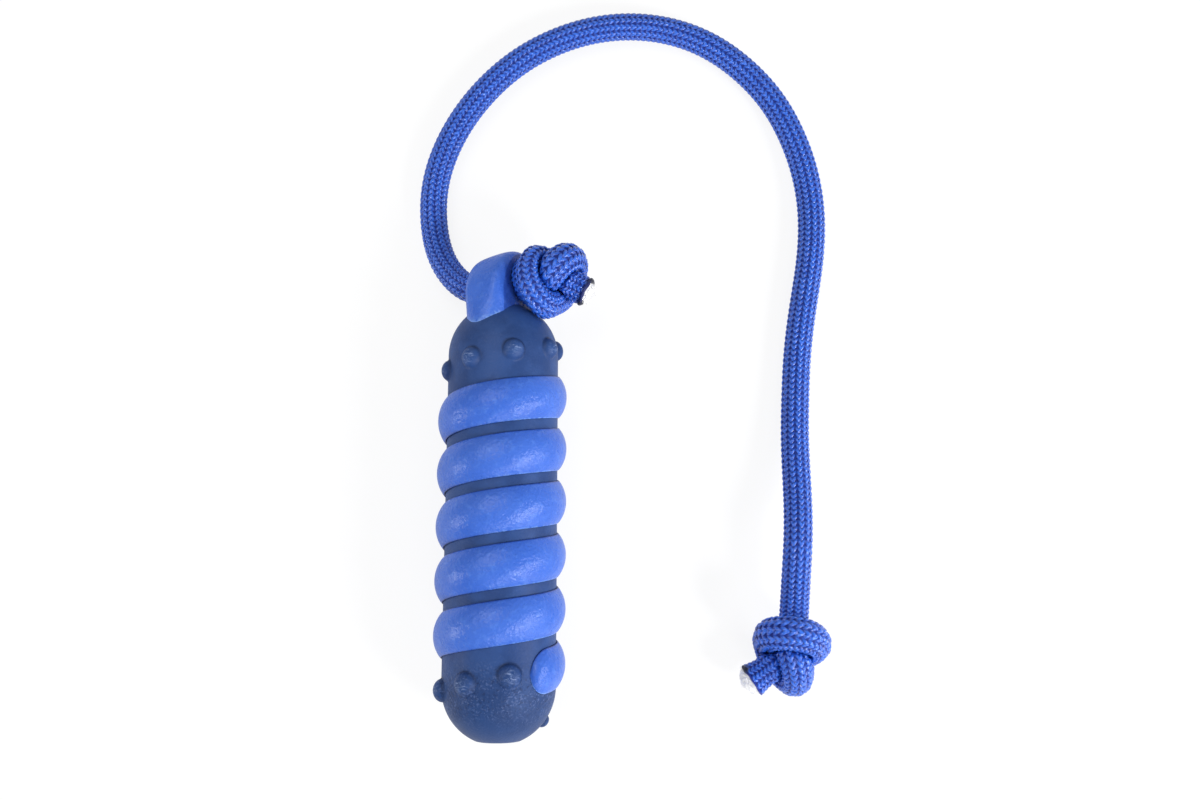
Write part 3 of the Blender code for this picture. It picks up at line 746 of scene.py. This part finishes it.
def tail_rim(name, at):
    """A ring, thicker and darker on the side that took more of the heat."""
    place = tail_seat(at)
    bm = bmesh.new()
    bmesh.ops.create_grid(bm, x_segments=72, y_segments=12, size=1)
    co = places(bm)
    phi, round_way = (co[:, 0] + 1) * math.pi, (co[:, 1] + 1) * math.pi
    heat = scorched(at, phi)
    thick = (0.00055 + 0.00075 * heat + 0.00022 * np.sin(3 * phi + at) * heat
             + 0.00012 * np.sin(7 * phi))
    outside = ROPE_DIAMETER / 2 * (1 + TAIL_FLARE[at]) - 0.0001
    radius = outside - thick + 0.0002 * np.sin(2 * phi) + thick * np.cos(round_way)
    height = 0.8 * thick * np.sin(round_way) - 0.0003 + 0.0002 * np.sin(2 * phi + 1.0)
    for vert, r, a, z in zip(bm.verts, radius, phi, height):
        vert.co = place @ Vector((r * math.cos(a), r * math.sin(a), z))
    paint(bm, burnt=np.minimum(heat * 1.3, 1))
    bmesh.ops.remove_doubles(bm, verts=bm.verts, dist=1e-6)
    bmesh.ops.recalc_face_normals(bm, faces=bm.faces)
    return piece(name, bm, melted, "rope", slot="rope_sheath")


# %% A tail's tuft
def lumpy(points, size, seed):
    """A smooth made-up height for each point, between -1 and 1."""
    waves = np.random.RandomState(seed).normal(0, 1 / size, (6, 3))
    return np.sin(points @ waves.T + np.arange(6)).mean(axis=1) * 1.6


def thin_tube(bm, line, radius):
    """A filament that thins out along its line."""
    rings = []
    for k, way in enumerate(frames(line)):
        size = max(radius * (1 - 0.6 * k / (len(line) - 1)), 0.00003)
        made = bmesh.ops.create_circle(bm, segments=5, radius=size, matrix=seat(line[k], *way))
        rings.append(list({e for v in made["verts"] for e in v.link_edges}))
    for one, two in zip(rings, rings[1:]):
        bmesh.ops.bridge_loops(bm, edges=one + two)


def tail_tuft(name, at, stands_for, fringe, wide, bulge):
    """A lumpy dome, wide and bulging by that much, with a fringe of that many filaments."""
    place, dome = tail_seat(at), np.array((wide, wide, bulge))
    bm = bmesh.new()
    bmesh.ops.create_icosphere(bm, subdivisions=5, radius=1)
    co = places(bm)
    lift = 1 + 0.16 * lumpy(co, 0.45, 3 + at) + 0.10 * lumpy(co, 0.13, 9 + at)
    move_to(bm, [place @ Vector(p) for p in co * lift[:, None] * dome])
    pick = np.random.RandomState(20 + at)
    for _ in range(fringe):
        a, lean = pick.uniform(0, math.tau), pick.uniform(0.1, 1.0)
        out = np.array((math.cos(a) * lean, math.sin(a) * lean, 1.15 - lean))
        out /= np.linalg.norm(out)
        root = out * dome * 0.85
        curl = pick.normal(0, 0.5, 3)
        steps = np.linspace(0, 1, 6)[:, None]
        line = root + pick.uniform(0.0008, 0.0019) * (out * steps + curl * steps ** 2)
        thin_tube(bm, np.array([place @ Vector(p) for p in line]), pick.uniform(0.00012, 0.00028))
    bmesh.ops.recalc_face_normals(bm, faces=bm.faces)
    return piece(name, bm, white_core, "rope", stands_for=stands_for, slot="rope_core")


# %% Both tails
ends = [tail_rim("stop_tail_rim", 0),
        tail_tuft("stop_tail_tuft", 0, "stop_tail_core", 44, 0.0046, 0.0022),
        tail_rim("grip_tail_rim", -1),
        tail_tuft("grip_tail_tuft", -1, "end_tail_core", 30, 0.0061, 0.0036)]

# %% [markdown]
# ## Rubber
#
# Both rubbers are moulded and have been handled: the dark one is matt with a fine grain and pale
# specks, which are painted glints, and the light one is satin and mottled, so that its shine breaks
# up into small patches. All of it is noise on Object coordinates, which sit still on the piece from
# every side. Noise that is squeezed along Y gives the pale streaks across each nub, where it rubs
# on the ground; they are wear and a painted highlight on the nub's top. The pieces are also
# painted with light: their edges are lighter as wear and painted highlight, and painted shade
# darkens the band's edges by its gaps, the eye's face beside the stop knot, the hollow round each
# nub and the core's low end.

# %% Dark rubber of the core
navy, flow, shader = new_material("navy_rubber_grain", Specular_IOR_Level=0.25)
where = flow.on_object()
height = flow.node("SeparateXYZ", None, {"Vector": where}, 1)
cloud = flow.noise(where, 95.0, 3.0)
grain = flow.noise(where, 1300.0, 3.0)
pits = flow.noise(where, 850.0, 2.0, 0.6)
low_end = (-0.064 - height).ramp(0.0, 0.012) * (height + 0.093).ramp(0.0, 0.012)
patches = flow.noise(where, 210.0)
speck = flow.noise(where, 1050.0, 3.0, 0.6).ramp(0.50, 0.66) * patches.ramp(0.34, 0.58)
squeezed = flow.node("VectorMath", {"operation": "MULTIPLY"},
                     {0: where, 1: (450.0, 1500.0, 450.0)})
streaks = flow.noise(squeezed, 1.0, 2.0).ramp(0.57, 0.66)
crease = flow.painted("crease")
rubbed = flow.painted("rubbed")
base = cloud.ramp(0.35, 0.65).mix((0.019, 0.056, 0.195), (0.028, 0.078, 0.255))
# Painted shade: the core is darker towards its low end, where less light falls.
base = ((-0.060 - height).ramp(0.0, 0.03) * 0.45).mix(base, (0.011, 0.036, 0.120))
base = (pits.ramp(0.52, 0.66) * low_end * 0.60).mix(base, (0.010, 0.026, 0.095))
# Pale specks on the grain, most of them on the low end, are painted glints.
base = (speck * (0.08 + 0.50 * low_end)).mix(base, (0.11, 0.17, 0.38))
# Each nub's top is painted pale, as wear and as a painted highlight.
base = (rubbed * pits.ramp(0.50, 0.60) * 0.60).mix(base, (0.12, 0.20, 0.42))
base = (rubbed * streaks * 0.75).mix(base, (0.28, 0.38, 0.66))
# Painted shade in the hollow round each nub's foot.
base = (crease * 0.7).mix(base, (0.005, 0.012, 0.045))
finish_material(flow, shader, Base_Color=base, Roughness=0.40 + 0.16 * grain,
                Normal=flow.bump(grain * 0.22 + pits * (0.12 + 0.70 * low_end), 0.00055, 0.8))

# %% Light rubber of the band and eye
blue, flow, shader = new_material("light_blue_rubber_satin", Specular_IOR_Level=0.4)
where = flow.on_object()
cloud = flow.noise(where, 70.0, 2.0)
mottle = flow.noise(where, 420.0, 4.0, 0.6)
fine = flow.noise(where, 800.0, 2.0, 0.5)
worn = flow.painted("worn")
base = cloud.ramp(0.3, 0.7).mix((0.043, 0.143, 0.640), (0.057, 0.165, 0.680))
base = (mottle.ramp(0.50, 0.72) * 0.35).mix(base, (0.115, 0.270, 0.820))
# Lighter edges: wear, and a painted highlight where the edges catch the light.
base = (worn * fine.ramp(0.35, 0.60) * 0.75).mix(base, (0.26, 0.47, 0.92))
# Painted shade, dark navy, along the band's edges by its gaps and on the eye's face by the knot.
grime = flow.painted("grime")
base = (grime * 0.92).mix(base, (0.004, 0.008, 0.130))
finish_material(flow, shader, Base_Color=base, Roughness=0.22 + 0.16 * fine,
                Normal=flow.bump(mottle * 0.68 + fine * 0.57, 0.00066, 0.70))


# %% [markdown]
# ## Core with its nubs
#
# The core is a lathe shape, so its half outline is spun once round the stick. The nubs are moulded
# in one piece with it and meet it in a soft fillet. Joined spheres would leave a sharp line there,
# so the fine mesh is pushed out over each nub instead, and the height eases to nothing at its foot.

# %% The core's half outline
def past_ends(y):
    """How far a place along the stick lies in one of its domed ends."""
    return np.minimum(y - LOW_CENTRE_Y, 0) + np.maximum(y - HIGH_CENTRE_Y, 0)


def core_radius_at(y):
    return np.sqrt(np.maximum(CORE_RADIUS ** 2 - past_ends(y) ** 2, 0))


def core_outline():
    """The flat end, its dome, the bar and the top dome, with closer steps where nubs stand."""
    rim = math.asin(FLAT_RADIUS / CORE_RADIUS)
    points = [(FLAT_RADIUS * s, FLAT_Y) for s in (0, 0.5, 0.86)]
    points += [(FLAT_RADIUS * 0.955, FLAT_Y + 0.00006)]
    for a in np.linspace(rim + 0.03, math.pi / 2, 46):
        points.append((CORE_RADIUS * math.sin(a), LOW_CENTRE_Y - CORE_RADIUS * math.cos(a)))
    stops = LOW_CENTRE_Y, LOW_CENTRE_Y + 0.012, HIGH_CENTRE_Y - 0.016, HIGH_CENTRE_Y
    for low, high, count in zip(stops, stops[1:], (23, 30, 30)):
        points += [(CORE_RADIUS, y) for y in np.linspace(low, high, count)[1:]]
    for a in np.linspace(0, math.pi / 2, 60)[1:]:
        points.append((CORE_RADIUS * math.cos(a), HIGH_CENTRE_Y + CORE_RADIUS * math.sin(a)))
    return points


# %% The band's helix, and the places of the nubs beyond its ends
BAND_PITCH, BAND_WIDTH, BAND_BASE = 0.0211, 0.0170, 0.0238
BAND_START, BAND_END, BAND_TIP = math.radians(36), math.radians(2056), math.radians(21)
NUBS_EACH_END, NUB_STEP, NUB_PHASE = 7, math.radians(45), math.radians(15)
LOW_NUB, HIGH_NUB, LAST_NUB_LEFT = (0.0045, 0.0030), (0.0042, 0.0026), 0.62


def band_y(phi):
    return FLAT_Y + BAND_BASE + BAND_PITCH * phi / math.tau


def around(phi, radius, y):
    """Points round the stick's axis, where phi is 0 at the top."""
    x, z = radius * np.sin(phi), AXIS_HEIGHT + radius * np.cos(phi)
    return np.stack([x, y + 0 * phi, z], axis=-1)


nubs = []
first_high = math.ceil((BAND_END + 0.4 - NUB_PHASE) / NUB_STEP) * NUB_STEP + NUB_PHASE
for k in range(NUBS_EACH_END):
    phi = NUB_PHASE - k * NUB_STEP
    left = LAST_NUB_LEFT if k == NUBS_EACH_END - 1 else 1
    y = band_y(phi) + 0.0008 + 0.0033 * phi / math.tau
    nubs.append((phi, y, LOW_NUB[0] * left, LOW_NUB[1] * left))
    phi = first_high + k * NUB_STEP
    nubs.append((phi, band_y(phi) - 0.0015, *HIGH_NUB))
print(len(nubs), "nubs")

# %% Spin the core
bm = bmesh.new()
outline = [bm.verts.new((r, y, 0)) for r, y in core_outline()]
edges = [bm.edges.new(pair) for pair in zip(outline, outline[1:])]
bmesh.ops.spin(bm, geom=outline + edges, cent=(0, 0, 0), axis=(0, 1, 0), angle=math.tau, steps=280,
               use_merge=True)
bmesh.ops.remove_doubles(bm, verts=bm.verts, dist=0.00001)
bmesh.ops.translate(bm, verts=bm.verts, vec=(0, 0, AXIS_HEIGHT))
bmesh.ops.recalc_face_normals(bm, faces=bm.faces)
print("core without its nubs,", len(bm.verts), "points")

# %% Push out its nubs
FILLET = 0.0005
co = places(bm)
normal = np.stack([co[:, 0], past_ends(co[:, 1]), co[:, 2] - AXIS_HEIGHT], axis=1)
normal /= np.linalg.norm(normal, axis=1)[:, None]
height, crease, rubbed = np.zeros(len(co)), np.zeros(len(co)), np.zeros(len(co))
for phi, y, radius, rise in nubs:
    far = np.linalg.norm(co - around(phi, core_radius_at(y), y), axis=1) / radius
    dome = np.where(far < 1, rise * 1.12 * np.maximum(1 - far ** 2, 0) ** 0.6,
                    -(far - 1) * radius * 1.6)
    blend = np.maximum(FILLET - np.abs(dome), 0) ** 2 / (4 * FILLET)
    height = np.maximum(height, np.where(far < 1.4, np.maximum(dome, 0) + blend, 0))
    # Painted shade round each nub's foot, darkest on its upper side, away from the light.
    above = np.clip(0.55 + 0.45 * (co[:, 1] - y) / radius, 0, 1)
    crease = np.maximum(crease, np.exp(-((far - 1.02) / 0.12) ** 2) * above)
    # The nub's top is painted pale, as wear and as a painted highlight.
    rubbed = np.maximum(rubbed, np.clip(1.2 - far * 1.6, 0, 1))
move_to(bm, co + normal * height[:, None])
paint(bm, crease=crease, rubbed=rubbed)
piece("stick_core_moulded", bm, navy, "stick", stands_for="core_stick", slot="navy_rubber")

# %% [markdown]
# ## Spiral band
#
# The band is one crowned strip wound on the core. A bevelled curve could make it, but its section
# would only grow or shrink as a whole. The spin operator can also move along its axis at each
# step. Here it makes a plain strip whose vertices know their step and their place in the section.
# The strip is then wound on, drawn narrower and lower at both ends, where the real band runs out
# in a round tip, and pressed onto the core's own outline.

# %% Make the strip
STRIP_STEP, TOP_COUNT, SUNK = math.radians(3), 25, 0.0003
steps = round((BAND_END - BAND_START) / STRIP_STEP)
section = [*np.sin(np.linspace(-math.pi / 2, math.pi / 2, TOP_COUNT)), 0.5, -0.5]
bm = bmesh.new()
loop = [bm.verts.new((s, k, 0)) for k, s in enumerate(section)]
edges = [bm.edges.new((loop[k], loop[(k + 1) % len(loop)])) for k in range(len(loop))]
bmesh.ops.spin(bm, geom=loop + edges, cent=(0, 0, 0), axis=(0, 0, 1), dvec=(0, 0, 1), angle=0.0,
               steps=steps)
co = places(bm)
print("strip,", steps, "steps of", len(section), "points")

# %% Wind it on the core
s, kind, turn = co[:, 0], np.rint(co[:, 1]).astype(int), np.rint(co[:, 2])
phi = BAND_START + turn / steps * (BAND_END - BAND_START)
edge_far = np.minimum(phi - BAND_START, BAND_END - phi) / BAND_TIP
full = np.sqrt(np.clip(1 - np.clip(1 - edge_far, 0, 1) ** 2, 0.0004, 1))
y = band_y(phi) + s * BAND_WIDTH / 2 * full
edge = BAND_RISE * 0.12 * full
crown = np.maximum(1 - s * s, 0) ** 0.85 * (BAND_RISE - edge) * full ** 0.8
rise = np.where(kind < TOP_COUNT, edge + crown, -SUNK)
move_to(bm, around(phi, core_radius_at(y) + rise, y))
right = np.sin(phi)
# The lower edge is painted pale, most on the right where the light falls: wear and a painted
# highlight.
paint(bm, worn=np.maximum(-s - 0.93, 0) / 0.07 * np.clip(0.5 + 0.9 * right, 0.15, 1),
      # Painted shade along the upper edge, and along the lower edge on the left.
      grime=(np.maximum(s - 0.94, 0) / 0.06
             + np.maximum(-s - 0.95, 0) / 0.05 * np.maximum(0.5 - 0.9 * right, 0) * 0.6))
close_up(bm)
piece("spiral_band_moulded", bm, blue, "stick", stands_for="spiral_band", slot="light_blue_rubber")

# %% [markdown]
# ## Rope eye
#
# The eye is a lug that stands on the dome like an arch, thick and crowned from side to side, with
# a hole right through it for the rope. It is a loft: many outlines, one behind the other, bridged
# into a skin. The dome and the hole are then cut out of it. The cutter of the hole widens at both
# mouths, which leaves them rounded, as a moulded hole is. Cuts make new vertices, so the wear with
# its painted edge highlight, and the painted shade beside the stop knot, are painted after them.

# %% Loft the lug
def eye_outline(side, count=48):
    """The arch's outline, for a side from -1 at one face to 1 at the other."""
    swell = (1 - abs(side) ** 6) ** 0.6
    half = 0.0124 + 0.0054 * swell
    top = EYE_RISE - 0.0008 - 0.0020 * (1 - swell) - 0.0026 * ((1 - side) / 2) ** 2
    spring, foot = 0.09 * EYE_RISE, -0.72 * EYE_RISE
    flare = (0.0195 - 0.0071 * abs(side) ** 2.3 - half) / 0.75
    points = [(half + flare * t, spring + (foot - spring) * t) for t in np.linspace(1, 0.06, 10)]
    for a in np.linspace(0, math.pi, count):
        points.append((half * math.cos(a), spring + (top - spring) * math.sin(a)))
    points += [(-half - flare * t, spring + (foot - spring) * t) for t in np.linspace(0.06, 1, 10)]
    return points


bm = bmesh.new()
rings = []
for side in np.sin(np.linspace(-math.pi / 2, math.pi / 2, 33)):
    centre = Vector((0, APEX_Y, AXIS_HEIGHT)) + EYE_ACROSS * side * EYE_WIDTH / 2
    ring = [bm.verts.new(centre + EYE_OUT * u + Vector((0, h, 0))) for u, h in eye_outline(side)]
    rings.append([bm.edges.new((ring[k], ring[(k + 1) % len(ring)])) for k in range(len(ring))])
for one, two in zip(rings, rings[1:]):
    bmesh.ops.bridge_loops(bm, edges=one + two)
close_up(bm)
eye = piece("rope_eye_moulded", bm, blue, "stick", stands_for="rope_eye", slot="light_blue_rubber")


# %% Cut out the dome
def cut(thing, name, bm):
    """Take the bmesh's closed shape away from a thing."""
    bmesh.ops.recalc_face_normals(bm, faces=bm.faces)
    tool = mesh_object(name, bm)
    step = thing.modifiers.new("cut", "BOOLEAN")
    step.operation = "DIFFERENCE"
    step.solver = "EXACT"
    step.object = tool
    shown = bpy.context.evaluated_depsgraph_get()
    mesh = bpy.data.meshes.new_from_object(thing.evaluated_get(shown))
    thing.modifiers.clear()
    thing.data = mesh
    bpy.data.objects.remove(tool, do_unlink=True)
    print(name, "cut out,", len(mesh.polygons), "faces")


bm = bmesh.new()
place = Matrix.Translation((0, HIGH_CENTRE_Y, AXIS_HEIGHT)) @ Matrix.Rotation(math.pi / 2, 4, "X")
bmesh.ops.create_uvsphere(bm, u_segments=128, v_segments=96, radius=CORE_RADIUS - 0.0001,
                          matrix=place)
cut(eye, "dome_shape", bm)

# %% Cut out the hole
EYE_BORE_RADIUS, MOUTH_ROUND, CUTTER_HALF = 0.0065, 0.0016, 0.014
bm = bmesh.new()
profile = []
for z in np.linspace(-CUTTER_HALF, CUTTER_HALF, 57):
    mouth_far = abs(z) - (EYE_WIDTH / 2 - MOUTH_ROUND)
    inside = MOUTH_ROUND ** 2 - np.clip(mouth_far, 0, MOUTH_ROUND) ** 2
    flare = MOUTH_ROUND - math.sqrt(max(inside, 0))
    radius = EYE_BORE_RADIUS + flare + max(mouth_far - MOUTH_ROUND, 0) * 2
    profile.append(bm.verts.new((radius, 0, z)))
edges = [bm.edges.new(pair) for pair in zip(profile, profile[1:])]
bmesh.ops.spin(bm, geom=profile + edges, cent=(0, 0, 0), axis=(0, 0, 1), angle=math.tau, steps=64,
               use_merge=True)
bmesh.ops.remove_doubles(bm, verts=bm.verts, dist=0.000001)
close_up(bm)
turn = EYE_ACROSS.to_track_quat("Z", "Y").to_matrix().to_4x4()
bmesh.ops.transform(bm, matrix=Matrix.Translation(BORE_CENTRE) @ turn, verts=bm.verts)
cut(eye, "hole_shape", bm)

# %% Smooth the eye, and paint its wear with a painted highlight, and its painted shade
eye.data.shade_smooth()
eye.data.set_sharp_from_angle(angle=math.radians(50))
co = np.array([v.co for v in eye.data.vertices])
side = (co - bore_centre) @ eye_across / (EYE_WIDTH / 2)
above_dome = np.linalg.norm(co - np.array((0, HIGH_CENTRE_Y, AXIS_HEIGHT)), axis=1) - CORE_RADIUS
# The edge away from the knot and the foot on the dome are painted pale: wear and a painted
# highlight.
worn = np.clip((np.abs(side) - 0.88) * 8, 0, 1) + np.clip(1 - above_dome / 0.0006, 0, 1)
# Painted shade on the face beside the stop knot.
grime = np.clip((side - 0.985) / 0.02, 0, 0.5)
for label, values in (("worn", worn * (side < 0.9)), ("grime", grime)):
    layer = eye.data.attributes.new(label, "FLOAT", "POINT")
    layer.data.foreach_set("value", values.astype(np.float32))
print("eye, largest wear and dirt:", round(worn.max(), 2), round(grime.max(), 2))

# %% [markdown]
# ## Floor and light
#
# The photograph has a plain white ground, and each turn of the band has small pale patches where
# lamps are mirrored in it. An even light from all round would give the colour without the patches.
# So the world gives a plain fill, and six round lamps stand where the patches ask for them: low on
# the left, three of them to the right, one in front, and a large one above and behind. The floor
# is white for the camera. It keeps a faint shadow near the toy, and none of it far off.

# %% White floor with a soft shadow
bm = bmesh.new()
bmesh.ops.create_grid(bm, x_segments=1, y_segments=1, size=3)
floor = mesh_object("floor", bm)
paper, flow, shader = new_material("white_paper", Roughness=1.0, Base_Color=(0.92, 0.92, 0.92, 1))
seen = flow.node("LightPath", None, None, 0)
through = flow.node("LightPath", None, None, 6)
glow = flow.node("Emission", None, {"Color": (1, 1, 1, 1), "Strength": 1.06})
where = flow.on_object()
far_off = flow.node("VectorMath", {"operation": "LENGTH"}, {0: where}, 1).ramp(0.45, 1.2)
share = flow.maths("MINIMUM", seen + through, 1.0) * (0.80 + 0.20 * far_off)
mixed = flow.node("MixShader", None, {0: share, 1: Flow(flow.tree, shader.outputs[0]), 2: glow})
output = paper.node_tree.nodes["Material Output"]
paper.node_tree.links.new(mixed.socket, output.inputs["Surface"])
floor.data.materials.append(paper)

# %% World and lamps
world = bpy.data.worlds.new("studio")
world.use_nodes = True
bpy.context.scene.world = world
flow = Flow(world.node_tree)
backdrop = world.node_tree.nodes["Background"]
seen = flow.node("LightPath", None, None, 0)
world.node_tree.links.new((0.32 + 0.68 * seen).socket, backdrop.inputs["Strength"])
backdrop.inputs["Color"].default_value = (1, 1, 1, 1)


def lamp(name, place, target, size, power):
    """A round lamp of that size at a place, turned towards its target."""
    light = bpy.data.lights.new(name, "AREA")
    light.shape = "DISK"
    light.size = size
    light.energy = power
    made = bpy.data.objects.new(name, light)
    made.location = place
    made.rotation_euler = (Vector(target) - Vector(place)).to_track_quat("-Z", "Y").to_euler()
    bpy.context.scene.collection.objects.link(made)
    print("lamp", name, power, "W")


lamp("left", (-1.00, -0.21, 0.27), (0.0, 0.0, 0.03), 0.24, 2.3)
lamp("right", (0.50, -0.08, 0.24), (0.10, 0.02, 0.01), 0.15, 0.95)
lamp("right_low", (0.62, -0.66, 0.15), (0.05, 0.0, 0.02), 0.34, 0.9)
lamp("front", (0.15, -0.95, 0.62), (0.04, 0.05, 0.02), 0.26, 1.9)
lamp("front_right", (0.70, -0.53, 0.68), (0.02, 0.0, 0.04), 0.22, 5.0)
lamp("above", (-0.35, 0.50, 1.15), (0.02, 0.05, 0.0), 0.9, 5.0)
bpy.context.scene.view_settings.view_transform = "Standard"
